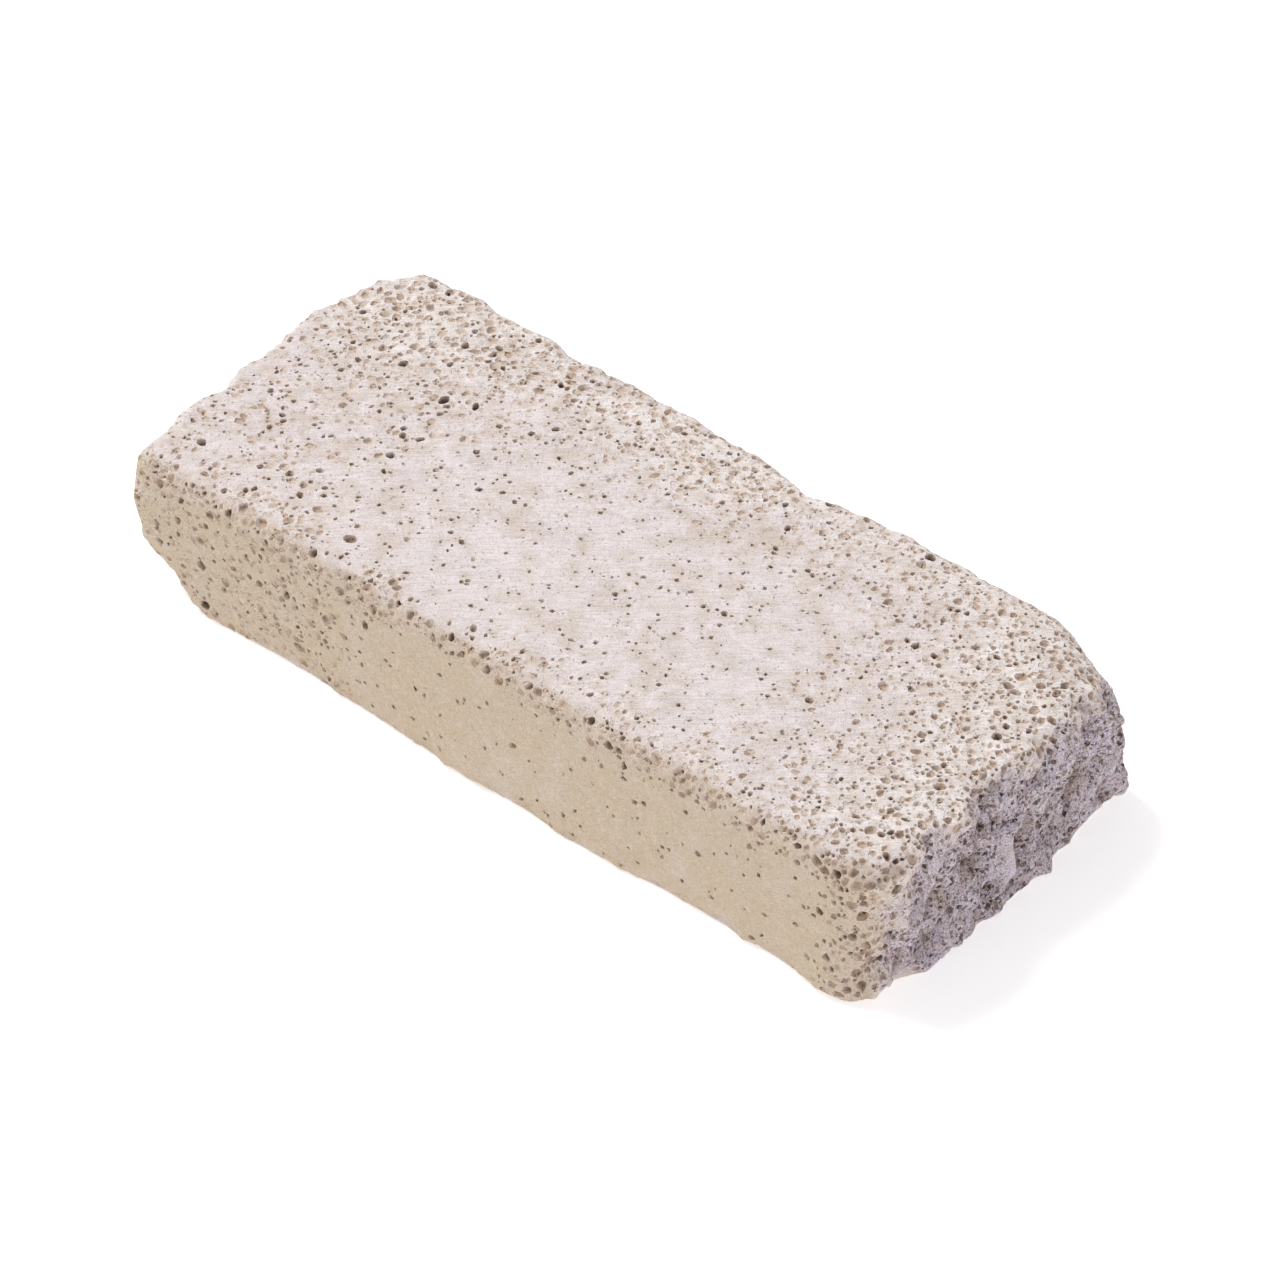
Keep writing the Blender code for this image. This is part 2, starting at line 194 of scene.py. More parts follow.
def onto_form(points):
    """Slide points of the bounding box along lines from the core onto the form."""
    reach = np.array([HALF_L, HALF_W, MID_Z]) - CORE_INSET
    middle = np.array([0, 0, MID_Z])
    core = np.clip(points - middle, -reach, reach) + middle
    line = units(points - core)
    near = np.zeros(len(points))
    far = np.full(len(points), 2.0 * CORE_INSET)
    for _ in range(HALVINGS):
        half = (near + far) / 2
        inside = form(core + line * half[:, None]) < 0
        near = np.where(inside, half, near)
        far = np.where(inside, far, half)
    return core + line * near[:, None]


def normals(points):
    """Outward directions of the smooth form."""
    step = 0.05
    slopes = [form(points + step * axis) - form(points - step * axis) for axis in np.eye(3)]
    return units(np.stack(slopes, axis=1))


# %% [markdown]
# ## Hollows, lobes and the break
#
# What makes it this stone and not another is where its edges stand back or forward.
# Each such place is one soft push: where it is, how far it reaches, and which way it
# moves the surface. On top of the pushes lies noise: slow waves everywhere, crumbling
# where two flats meet, and ridges over the snapped end. The noise is read from a small
# lattice of random numbers with a fixed seed, so the stone comes out the same each time.

# %% Pushes
HOLLOWS = [  # name, middle, half sizes along x, y and z, push
    ("scallop in the back rim", (8.5, BACK, TOP), (7, 6, 8), (0, -1.6, -0.2)),
    ("nick in the back rim", (-30, BACK, TOP), (6.5, 3, 4), (0, -0.5, 0)),
    ("nick in the left rim", (LEFT, -9, TOP), (3, 3, 3.5), (0.6, 0, -0.3)),
    ("tooth of the left rim", (LEFT, -15, TOP), (4, 2.5, 5), (-0.2, 0, 0)),
    ("shoulder of the left end", (LEFT, 11, TOP), (5, 4.5, 14), (-1.3, 0, 0)),
    ("bulge of the left front corner", (LEFT, FRONT, 16), (6, 5.5, 12), (-1.4, -1, 0)),
    ("worn front rim, left", (-50, FRONT, TOP), (10, 3, 4), (0, 0.3, -0.7)),
    ("worn front rim, middle", (-16, FRONT, TOP), (9, 3, 3.5), (0, 0.3, -0.6)),
    ("crumbled front rim", (9, FRONT, TOP), (14, 2.6, 3.5), (0, 0.4, -0.8)),
    ("crumbled front rim, right", (36, FRONT, TOP), (9, 2.2, 3), (0, 0.4, -0.4)),
    ("dish near the back", (12, 14.5, TOP), (7.5, 4.5, 6), (0, 0, -0.5)),
    ("dish at the front rim", (-1.4, -24, TOP), (4, 3.2, 5), (0, 0, -0.8)),
    ("bulge of the side", (15, FRONT, 0), (9, 9, 9), (0, -0.8, 0)),
    ("bulge of the side, left", (-3.5, FRONT, 0), (6, 6, 6), (0, -0.7, 0)),
    ("flattened foot of the side", (-33, FRONT, -1), (12, 9, 8.5), (0, 0.7, 0)),
    ("lean foot of the side", (36.5, FRONT, -1), (9, 6, 6), (0, 0.2, 0)),
    ("heel of the side", (56, FRONT, 0), (4, 6, 8), (0, -1.2, 0)),
    ("bulge of the back, right", (43, BACK, 16.9), (8, 6, 9), (0, 0.35, 0)),
    ("near hollow of the break", (END, -6.1, 11.7), (6, 1.8, 2.1), (-3.2, 0, 0)),
    ("pocket under the hollow", (END, -7.6, 9), (6, 2, 1.7), (-1.9, 0, 0)),
    ("bite behind the corner", (END, -15.5, 12), (6, 3.5, 5), (-0.9, 0, 0)),
    ("crevice over the hollow", (END, -5.6, 17.6), (5, 2, 1.1), (-1.9, 0, -0.2)),
    ("second crevice", (END, -1.6, 15.2), (5, 1.6, 1.1), (-1.7, 0, 0)),
    ("bay in the lip", (END, -3.2, TOP), (4.5, 3, 3), (-1.5, 0, -0.5)),
    ("second bay in the lip", (END, 9.4, TOP), (4.5, 2.6, 2.4), (-1.2, 0, -0.4)),
    ("middle crevice", (END, 3.4, 8.4), (6, 1.3, 3.2), (-2.2, 0, 0)),
    ("far crevice", (END, 13.6, 11), (7, 1.5, 3.6), (-2.5, 0, 0)),
    ("far pitted hollow", (END, 17.4, 9.6), (6, 3, 3.4), (-1.7, 0, 0)),
    ("dark row at the foot", (END, -4.3, 4.2), (5, 2.8, 1.2), (-1.5, 0, 0)),
    ("step at the foot", (END, 16.5, -0.5), (6, 4.6, 3.2), (-0.9, 0, 0)),
    ("near foot", (END, -20.5, 0), (8, 3.2, 3.6), (-1.8, 0.6, 0)),
    ("back foot", (END, BACK - 2.5, 0), (6, 3.5, 3.5), (-1.2, -0.6, 0)),
    ("pale ridge", (END, -0.9, 8.6), (6, 1.5, 5), (1.5, 0, 0)),
    ("near lobe of the lip", (END, -1.6, 19), (5, 2.2, 1.8), (1.2, 0, 0)),
    ("far lobe of the lip", (END, 10.6, 17.6), (6, 2.2, 3.4), (1.5, 0, 0)),
    ("lip over the near half", (END, -10.5, 20.4), (4, 3.4, 2.4), (0.7, 0, 0)),
    ("bulge of the foot", (END, 2.5, 1.5), (6, 4, 3), (0.3, 0, 0)),
]

# %% Noise and relief
LATTICE_SIZE = 40
LATTICE = np.random.default_rng(11).uniform(-1.0, 1.0, (LATTICE_SIZE,) * 3)
SAW_PLANE = 0.03


def noise(points, size, shift=0.0):
    """Smooth noise from -1 to 1 at the points, with lumps about `size` wide."""
    place = points / size + shift
    cell = np.floor(place).astype(int)
    part = place - cell
    part = part * part * (3 - 2 * part)
    total = np.zeros(len(points))
    for corner in np.ndindex(2, 2, 2):
        weight = np.where(corner, part, 1 - part).prod(axis=1)
        i, j, k = ((cell + corner) % LATTICE_SIZE).T
        total += weight * LATTICE[i, j, k]
    return total


def break_depth(points):
    """How far the snapped face lies behind its plane: ridges with finer steps on them."""
    grain = points * (0.0, 1.25, 0.8)
    ridges = 1 - 2 * np.abs(noise(grain, 5.2, 3.3))
    return 0.35 - 0.6 * ridges + 0.4 * noise(grain, 2.3, 7.7)


def edginess(points):
    """1 where two flats meet, 0 out on a flat."""
    first, second = np.sort(flat_distances(points), axis=0)[-1:-3:-1]
    return 1 - ramp(first - second, 0.6, 3.5)


def relief(points, out):
    """Which way and how far the real surface lies from the smooth form."""
    on_edge = edginess(points)
    depth = 0.10 * noise(points, 11.0) + 0.06 * noise(points, 3.7, 5.3)
    depth += on_edge * (0.10 + 0.26 * noise(points, 4.3, 9.1) + 0.17 * noise(points, 1.9, 2.7))
    depth *= 1 - ramp(-out[:, 2], 0.5, 0.95)
    moved = -out * depth[:, None]
    moved[:, 0] -= ramp(points[:, 0], HALF_L - 5, HALF_L - 0.5) * break_depth(points)
    ragged = points.copy()
    ragged[:, 1] += 0.7 * noise(points, 1.8, 21.3)
    ragged[:, 2] += 0.7 * noise(points, 1.8, 13.7)
    for _, at, half, push in HOLLOWS:
        away = (((ragged - at) / half) ** 2).sum(axis=1)
        moved += np.outer(np.exp(-away), push)
    return moved


# %% [markdown]
# The solid stops there. Close up, the real surface has another, finer layer: grains that
# stand proud along the rims, a sandy skin on the sides and sharp little steps on the
# break. It is small enough to leave the outline alone, so only this mesh carries it.

# %% Fine relief
LIP = np.array([  # y and z of the line where the rubbed skin ends over the break
    (-26, 12), (-21.5, 15), (-19.5, 17), (-16, 21.6), (-12.6, 21.0), (-10, 20.2), (-7.2, 21.0),
    (-2.5, 22.6), (2.0, 21.0), (5.7, 19.4), (9.4, 22.0), (13.5, 21.0), (17.7, 19.8), (26, 18)]).T


def broken_share(points, out):
    """1 on the snapped end, 0 elsewhere."""
    x, y, z = points.T
    ragged = 0.16 * noise(points, 2.6, 6.6) + 0.10 * noise(points, 1.1, 1.6)
    start = 0.30 + 0.46 * ramp(-y, 15.5, 20.0)
    turned_away = ramp(out[:, 0] + ragged, start, start + 0.30)
    below_lip = ramp(np.interp(y, *LIP) - z + 8 * ragged, -2.0, 2.2)
    return turned_away * below_lip * ramp(x, HALF_L - 10, HALF_L - 3)


def ridge_share(points):
    """1 on the smooth ridge that runs up the break, 0 elsewhere."""
    x, y, z = points.T
    middle = -1.5 + 0.16 * (13.0 - z)
    across = (y - middle) / (1.1 + 0.05 * (13 - z))
    return np.exp(-across ** 4 - ((z - 8.6) / 4.6) ** 4) * ramp(x, 55, 60)


def torn(points, size, shift):
    """Noise drawn out along the way the froth was stretched, aslant up the break."""
    along = points @ unit((0.0, 0.45, 0.9))
    across = points @ unit((0.0, 0.9, -0.45))
    grain = np.stack([points[:, 0] * 0.6, across, along * 0.42], axis=1)
    return noise(grain, size, shift)


def fine_relief(points, out):
    """The grainy layer on top of the relief, inward, in millimetres."""
    on_edge = edginess(points)
    broken = broken_share(points, out)
    grit = 0.035 * noise(points, 0.9, 1.7) + 0.045 * noise(points, 2.1, 8.3)
    crumbs = 0.30 * noise(points, 2.6, 7.4) + 0.24 * noise(points, 1.3, 4.9)
    crumbs += 0.18 * noise(points, 0.8, 6.1)
    ledges = ramp(torn(points, 2.3, 12.4), -0.10, 0.10) * 0.8 + 0.55 * torn(points, 3.6, 5.5)
    ledges += ramp(torn(points, 1.3, 9.2), 0.05, 0.25) * 0.45
    tears = 0.55 * np.abs(torn(points, 1.4, 3.9)) + 0.30 * noise(points, 0.9, 2.2)
    lip = on_edge * ramp(points[:, 0], HALF_L - 6, HALF_L - 1)
    bays = 0.30 + 0.80 * noise(points, 3.1, 5.7) + 0.40 * noise(points, 1.5, 10.3)
    rough = broken * (1 - 0.85 * ridge_share(points))
    rough *= 0.45 + 0.55 * ramp(points[:, 2], 0.5, 4.0)
    depth = grit + on_edge * (crumbs + 0.03) + lip * bays + rough * (ledges + tears)
    depth -= 0.38 * broken           # the break is pushed out, so its tears go in from there
    return depth * (1 - ramp(-out[:, 2], 0.5, 0.95))


def surface(points):
    """Points of the bounding box laid on the finished surface, with outward directions."""
    on_form = onto_form(points)
    out = normals(on_form)
    laid = on_form + relief(on_form, out) - out * fine_relief(on_form, out)[:, None]
    laid[laid[:, 2] < SAW_PLANE, 2] = 0.0
    return laid, out


# %% [markdown]
# ## The bar's mesh
#
# The box that is shrink-wrapped needs an even grid on all six sides. Rather than cut up
# a cube, the grid is written directly: every point has three whole-number coordinates,
# a dictionary gives each one a single index, and so the six sides share their edges and
# the mesh is closed from the start. Decimation then takes points from the flats, where
# they say nothing, and leaves them along the rims and over the break.

# %% Helpers for meshes
def mesh_object(name, points, faces):
    """An object from points in millimetres."""
    mesh = bpy.data.meshes.new(name)
    mesh.from_pydata((np.asarray(points) * MM).tolist(), [], faces)
    return placed(name, mesh)


def bake_modifiers(thing):
    """Replace an object's mesh by what its modifiers make of it."""
    graph = bpy.context.evaluated_depsgraph_get()
    done = bpy.data.meshes.new_from_object(thing.evaluated_get(graph))
    thing.modifiers.clear()
    old = thing.data
    thing.data = done
    bpy.data.meshes.remove(old)


def thin_out(thing, ratio):
    """Collapse edges, the flattest first, until this share of the triangles is left."""
    thinner = thing.modifiers.new("thin", "DECIMATE")
    thinner.ratio = ratio
    thinner.use_collapse_triangulate = True
    bake_modifiers(thing)


# %% The bar
GRID_STEPS = 0.55, 0.38, 0.38        # along x, y and z, mm
BAR_TRIANGLES = 52000


def box_grid(steps):
    """Points and squares of a closed box, evenly divided on all six sides."""
    counts = [round(size / step) for size, step in zip((LENGTH, WIDTH, THICKNESS), steps)]
    seen = {}
    squares = []
    for axis in range(3):
        u, v = (axis + 1) % 3, (axis + 2) % 3
        for level in (0, counts[axis]):
            for i in range(counts[u]):
                for j in range(counts[v]):
                    ring = [(i, j), (i + 1, j), (i + 1, j + 1), (i, j + 1)]
                    square = []
                    for a, b in ring if level else reversed(ring):
                        key = [0, 0, 0]
                        key[axis], key[u], key[v] = level, a, b
                        square.append(seen.setdefault(tuple(key), len(seen)))
                    squares.append(square)
    points = np.array(list(seen)) / counts * (LENGTH, WIDTH, THICKNESS)
    return points - (HALF_L, HALF_W, 0), squares


grid_points, grid_squares = box_grid(GRID_STEPS)
bar_points, _ = surface(grid_points)
bar = mesh_object("pumice_bar", bar_points, grid_squares)
thin_out(bar, BAR_TRIANGLES / (2 * len(grid_squares)))
print("bar:", len(bar.data.polygons), "triangles")

# %% [markdown]
# ## Bubbles cut open
#
# The bubbles are everywhere in the stone, but they don't show everywhere alike. Where it
# was rubbed for years the dust has filled most of them; towards the back rim, the left
# end and the broken end the froth is open, cell beside cell with thin walls between;
# the smooth side has few; and the break is full of fine torn ones. So the first thing to
# write is a map: for any place on the surface, what share of the bubbles is open there.
# The front rim is crowded too, but in clusters, as it chipped and wore.

# %% Where the stone is porous
def openness(points, out):
    """Share of the surface that open bubbles take, from 0 to 1, and the break's share."""
    x, y, z = points.T
    wander = noise(points, 9.0, 14.2)
    broken = broken_share(points, out)
    right = ramp(x + 2 * wander, 23, 62)
    back = ramp(y + 2 * wander - 6 * ramp(x, -5, 15), 2, 25)
    left = ramp(-x + 3 * wander, 18, 46) * (0.21 + 0.17 * ramp(y, -4, 8))
    back *= 0.75 - 0.13 * ramp(-x, 15, 45)
    on_top = 1 - 0.84 * (1 - 0.70 * right) * (1 - back) * (1 - left) + 0.10 * wander
    crowded = ramp(noise(points, 6.0, 3.3), -0.40, 0.15)
    on_top += 0.60 * ramp(1.5 * wander - y, 20.8, 24.4) * crowded * (1 - on_top)
    on_side = 0.05 + 0.45 * ramp(-x, 12, 40) + 0.60 * ramp(x, 50, 61) + 0.10 * wander
    on_side += (0.55 + 0.35 * crowded) * ramp(z + 1.4 * wander, 17.2, 20.2) * (1 - on_side)
    share = 0.62 + 0.15 * wander
    share += (on_top - share) * ramp(out[:, 2], 0.5, 0.9)
    share += (on_side - share) * ramp(-out[:, 1], 0.5, 0.9)
    share += (0.34 + 0.15 * wander - share) * ramp(-out[:, 2], 0.5, 0.9)
    share += (0.95 - 0.9 * ridge_share(points) - share) * broken
    return np.clip(share, 0.02, 1.0), broken


# %% [markdown]
# The bubbles that stand out one by one have names and places, the same as in the solid.
# All the others are thrown like darts: a place on the box, a size, and a look at the map
# to see whether a bubble may open there. There are two sorts: small deep ones that show
# as dark dots even on the worn face, and wide shallow bowls, crowded where the froth is
# open. Big ones are placed first, and a dart that lands too near another is thrown away.

# %% Bubbles with a place of their own
PITS = [  # name, where, opening radius, depth
    ("triangular pit", (-28.1, -21, TOP), 1.05, 1.3),
    ("front rim pit 1", (-17.3, -24, TOP), 0.95, 1.1),
    ("front rim pit 2", (-13.3, -26, TOP - 1), 1.05, 1),
    ("front rim pit 3", (-5, -23.1, TOP), 0.9, 1.1),
    ("front rim pit 4", (-1.4, -25, TOP - 0.6), 1.1, 1),
    ("front rim pit 5", (6.7, -26.4, TOP - 0.6), 1, 1.1),
    ("front rim pit 6", (16.8, -26.2, TOP - 0.6), 1.1, 1.2),
    ("top pit 1", (-29.8, -13.7, TOP), 0.6, 1),
    ("top pit 2", (-10.2, 0.5, TOP), 0.6, 0.9),
    ("top pit 3", (-11.2, -10, TOP), 0.55, 0.9),
    ("top pit 4", (7.9, -17.1, TOP), 0.6, 1),
    ("top pit 5", (8.6, 0.3, TOP), 0.6, 1),
    ("top pit 6", (14.1, 6.9, TOP), 0.55, 0.8),
    ("dark pit", (35.8, -6.2, TOP), 0.95, 1.5),
    ("pair, first", (37.2, -14.4, TOP), 0.55, 0.9),
    ("pair, second", (38.6, -13, TOP), 0.5, 0.9),
    ("top pit 7", (48.4, -19.4, TOP), 0.6, 1),
    ("slit", (50.6, -0.8, TOP), 0.6, 1.1),
    ("top pit 8", (37.9, 1.3, TOP), 0.6, 0.9),
    ("dish pit", (12.5, 17.6, TOP), 0.95, 1.3),
    ("pit in the left field 1", (-38.1, -10, TOP), 0.6, 0.9),
    ("pit in the left field 2", (-41.3, 5, TOP), 0.65, 1),
    ("pit in the left field 3", (-54.6, 4.7, TOP), 0.6, 0.9),
    ("pit at the far lip", (60.6, 11, TOP - 0.4), 0.9, 1.2),
    ("side pit 1", (-34.4, FRONT, 13), 1.05, 1.2),
    ("side pit 2", (-20.6, FRONT, 15.7), 0.85, 1),
    ("side pit 3", (-32.3, FRONT, 7), 0.55, 0.7),
    ("side pit 4", (-23.9, FRONT, 9.7), 0.5, 0.6),
    ("side pit 5", (-53.5, FRONT, 14.8), 0.8, 1),
    ("side pit 6", (-0.1, FRONT, 7), 0.5, 0.6),
    ("side slit, upper half", (23, FRONT, 17.6), 0.65, 1.1),
    ("side slit, lower half", (23.1, FRONT, 15.6), 0.6, 0.9),
    ("corner pit 1", (59.2, FRONT + 0.5, 10.6), 0.9, 1.1),
    ("corner pit 2", (60.6, FRONT + 1, 16.6), 0.8, 1.1),
    ("corner pit 3", (59, FRONT + 0.5, 2.6), 0.8, 0.9),
    ("corner pit 4", (52.9, FRONT, 4.4), 0.75, 0.8),
    ("corner pit 5", (57.6, FRONT, 18.6), 0.75, 0.9),
    ("break pit 1", (END, -6.7, 11), 1.3, 1.6),
    ("break pit 2", (END, 13.5, 11), 1.1, 1.4),
    ("break pit 3", (END, -1.4, 15.3), 0.9, 1.2),
    ("break pit 4", (END, 17.2, 9.8), 0.9, 1.1),
    ("break pit 5", (END, -12.2, 9.1), 0.9, 1),
    ("break pit 6", (END, -5.3, 17.6), 0.9, 1.3),
]

# %% Bubbles thrown like darts
DARTS_PER_MM2 = 5.0
SMALLEST, LARGEST = 0.17, 0.85       # opening radii, mm
PACKING = 0.80                       # how close two bubbles come, as a share of touching
CELL = 2 * LARGEST
rng = np.random.default_rng(21)


def darts():
    """Places spread evenly over the six sides of the box."""
    sides = []
    size = np.array([LENGTH, WIDTH, THICKNESS])
    for axis in range(3):
        across = np.delete(size, axis)
        for level in (0.0, 1.0):
            place = rng.random((round(across.prod() * DARTS_PER_MM2), 3))
            place[:, axis] = level
            sides.append(place * size - (HALF_L, HALF_W, 0))
    return np.concatenate(sides)


def clear(name, at):
    """How much of a named pit the dust and crumbs have left clear."""
    for word, share in (("break", 0.48), ("triangular", 0.80), ("front rim", 0.62)):
        if word in name:
            return share
    return 0.64 if at[2] == TOP else 0.74


def throw():
    """Bubbles as rows: where, way out, opening radius, depth; named ones come first."""
    named = np.array([at for _, at, _, _ in PITS])
    thrown = darts()
    at, out = surface(np.concatenate([named, thrown]))
    share, broken = openness(at, out)
    luck = rng.random(len(at))
    fresher = ramp(at[:, 0], 15, 50)
    chance = 0.012 + 0.018 * ramp(out[:, 2], 0.3, 0.8)
    deep = luck < chance + (0.075 + 0.05 * fresher) * share + 0.05 * broken
    shallow = ~deep & (luck < 0.10 + 0.38 * share ** 2.2)
    allowed = deep | (shallow & (share > 0.25))
    typical = np.where(deep, 0.23 + 0.08 * share, 0.27 + 0.16 * share) * (1 - 0.38 * broken)
    wider = 0.22 * ramp(-at[:, 0], -5, 35) * ramp(out[:, 2], 0.5, 0.9)
    typical *= 1 + 0.25 * ramp(-out[:, 1], 0.5, 0.9) + wider
    radius = typical * np.exp(0.30 * rng.standard_normal(len(at)))
    radius = np.clip(radius, SMALLEST, LARGEST)
    flatness = rng.uniform(0.38, 0.78, len(at)) + 0.28 * fresher + 0.1 * broken
    depth = radius * np.where(deep, rng.uniform(1.1, 1.9, len(at)), flatness)
    first = len(PITS)
    radius[:first] = [pit[2] * clear(*pit[:2]) for pit in PITS]
    depth[:first] = [pit[3] * clear(*pit[:2]) for pit in PITS]
    allowed[:first] = True
    order = np.concatenate([np.arange(first), first + np.argsort(-radius[first:])])
    kept = spaced(at, radius, [i for i in order if allowed[i]])
    return at[kept], out[kept], radius[kept], depth[kept]


def near_in(cells, at, size):
    """The cell of a place, and what is already in it and in the 26 cells round it."""
    home = np.floor(at / size).astype(int)
    return tuple(home), [j for step in np.ndindex(3, 3, 3)
                         for j in cells.get(tuple(home + step - 1), ())]


def spaced(at, radius, order):
    """Take the darts in order and keep those that stand clear of all kept before."""
    cells = {}
    kept = []
    for i in order:
        home, near = near_in(cells, at[i], CELL)
        if near:
            gaps = np.linalg.norm(at[near] - at[i], axis=1) - PACKING * (radius[near] + radius[i])
            if gaps.min() < 0:
                continue
        kept.append(i)
        cells.setdefault(home, []).append(i)
    return kept


bubble_at, bubble_out, bubble_radius, bubble_depth = throw()
print(len(bubble_at), "bubbles, mean radius", round(float(bubble_radius.mean()), 2), "mm")

# %% [markdown]
# In froth one bubble often breaks through into the next one below it. Seen from above,
# such a window is a small dark hole in the floor of a light bowl, and it is these dark
# cores that make the open parts of the stone sparkle. Some bowls therefore get one.

# %% Windows into the bubbles below
WINDOW_SHARE = 0.48
has_window = (bubble_radius > 0.30) & (rng.random(len(bubble_at)) < WINDOW_SHARE)
aside = rng.standard_normal((has_window.sum(), 3)) * 0.22 * bubble_radius[has_window][:, None]
window_at = bubble_at[has_window] + aside
window_out = bubble_out[has_window]
window_radius = bubble_radius[has_window] * rng.uniform(0.30, 0.48, len(window_at))
window_radius = np.clip(window_radius, 0.13, 0.4)
window_depth = bubble_depth[has_window] + window_radius * rng.uniform(1.2, 2.0, len(window_at))
print(len(window_at), "windows")

# %% [markdown]
# A crevice is a torn row of bubbles: small, deep, and so close that they run together.
# There is one in the smooth side, and the break has them wherever a lump came away.

# %% Crevices
CREVICES = [  # name, middle, which way it runs, how long
    ("slit in the side", (22.8, FRONT, 17), (0.1, 0, 1), 3),
    ("over the near hollow", (END, -3.6, 16), (0, 1, 0.3), 2.6),
    ("over the ridge", (END, 0.4, 13.8), (0, 1, -0.2), 1.6),
    ("in the near hollow", (END, -5.4, 9.2), (0, 1, -0.5), 2.6),
    ("behind the ridge", (END, 5, 6.6), (0, 1, -0.3), 2.2),
    ("far and low", (END, 14, 3.4), (0, 1, 0.3), 3),
    ("at the foot", (END, -2, 2.6), (0, 1, 0.2), 3.4),
    ("at the near foot", (END, -9.4, 1.8), (0, 1, 0.5), 1.6),
    ("beside the near corner", (END, -10, 11.3), (0, 0.4, 1), 1.5),
    ("under the near lip", (END, -3.9, 18.8), (0, 1, 0.4), 1.7),
    ("under the middle lip", (END, 4, 17.8), (0, 1, -0.6), 1.8),
]
BUBBLE_STEP = 0.42                   # from one bubble of a crevice to the next, mm
SCATTER = 0.11                       # how far each stands out of line, mm


def strung(middle, way, length):
    """Places along a crevice, a little out of line."""
    count = round(length / BUBBLE_STEP)
    steps = np.linspace(-0.5, 0.5, count)[:, None] * length
    return middle + steps * unit(way) + SCATTER * rng.standard_normal((count, 3))


crevice_at, crevice_out = surface(np.concatenate([strung(*row[1:]) for row in CREVICES]))
crevice_radius = rng.uniform(0.22, 0.40, len(crevice_at))
crevice_depth = crevice_radius * rng.uniform(1.8, 2.8, len(crevice_at))
print(len(crevice_at), "bubbles in", len(CREVICES), "crevices")

# %% [markdown]
# ## The tool that cuts a bubble
#
# A sphere would spend most of its faces where nobody sees them. A bubble is cut by a
# plug instead: rings of points that start outside the stone, narrow inside it and end in
# a point, so every face of it becomes a face of the pit. Small bubbles are cones, wider
# ones have a ring or two inside. No two plugs are alike: each is longer one way, leans a
# little, and has every point nudged.

# %% Plugs
PLUGS = {  # sides, how far it stands out of the stone (mm), then rings: (share of depth, width)
    "cone": (6, 0.16, ()),
    "cup": (7, 0.30, ((0.55, 0.80),)),
    "bowl": (9, 0.45, ((0.40, 0.95), (0.82, 0.58))),
}
CUP_FROM, BOWL_FROM = 0.25, 0.48     # opening radii from which a plug gets more rings
WALL = 0.10                          # wall between two bubbles that press on each other, mm
LEAN = 0.14                          # how far off the way out a plug may point


def frames_for(out):
    """Two directions across each way out, turned at random."""
    guide = np.where(np.abs(out[:, 2:3]) < 0.8, (0.0, 0.0, 1.0), (1.0, 0.0, 0.0))
    u = units(np.cross(guide, out))
    v = np.cross(out, u)
    turn = rng.uniform(0, 2 * np.pi, (len(out), 1))
    return u * np.cos(turn) + v * np.sin(turn), v * np.cos(turn) - u * np.sin(turn)


def plug_shape(sides, rings):
    """Faces of one plug: a lid, walls between its rings, and a fan to its point."""
    faces = [list(range(sides))]
    for ring in range(rings - 1):
        for i in range(sides):
            a, b = ring * sides + i, ring * sides + (i + 1) % sides
            faces.append([a, a + sides, b + sides, b])
    last = (rings - 1) * sides
    faces += [[last + i, rings * sides, last + (i + 1) % sides] for i in range(sides)]
    return faces


def pressed(at, radius, sides, ways, neighbours):
    """How far each corner of each opening may reach before it meets a neighbour's wall."""
    room = np.full((len(at), sides), 9.0)
    for row in range(len(at)):
        for other_at, other_radius in neighbours(at[row], radius[row]):
            line = other_at - at[row]
            gap = np.linalg.norm(line)
            plane = gap * radius[row] / (radius[row] + other_radius) - WALL / 2
            toward = ways[row] @ (line / gap)
            limit = np.where(toward > 0.15, plane / toward.clip(0.15), np.inf)
            room[row] = np.minimum(room[row], limit)
    return np.maximum(room, 0.35 * radius[:, None])


def plugs(at, out, radius, depth, kind, neighbours):
    """Points and faces of all the plugs of one kind."""
    sides, proud, inner = PLUGS[kind]
    lean = units(out + LEAN * rng.standard_normal(out.shape))
    u, v = frames_for(lean)
    turns = 2 * np.pi * np.arange(sides)[None, :, None] / sides
    long = rng.uniform(1.0, 1.25, (len(at), 1, 1))
    ways = u[:, None] * np.cos(turns) * long + v[:, None] * np.sin(turns) / long
    reach = np.linalg.norm(ways, axis=2)
    ways /= reach[..., None]
    reach *= radius[:, None] * rng.uniform(0.78, 1.16, reach.shape)
    reach = np.minimum(reach, pressed(at, radius, sides, ways, neighbours))
    deep = depth[:, None, None]
    share, width = inner[0] if inner else (1.0, 0.0)
    flare = 1 + np.minimum((1 - width) * proud / (share * deep), 0.9)
    rings = [(proud, flare)]
    for share, width in inner:
        rings.append((-share * deep * rng.uniform(0.8, 1.15, deep.shape), width))
    rows = [at[:, None] + ways * reach[..., None] * width + lean[:, None] * height
            for height, width in rings]
    rows.append((at - lean * depth[:, None])[:, None])
    points = np.concatenate(rows, axis=1)
    shape = plug_shape(sides, len(rings))
    faces = [[row * points.shape[1] + i for i in face] for row in range(len(at)) for face in shape]
    return points.reshape(-1, 3), faces


# %% [markdown]
# Cutting is one Boolean difference for a whole crowd of plugs. The Manifold solver is
# the quick one, but it wants tools that don't run into each other, so neighbours are
# dealt into separate crowds like colours on a map, and the crowds cut one after another.

# %% Deal the bubbles into crowds and cut them
REACH = 1.6                          # a plug may reach this many radii sideways


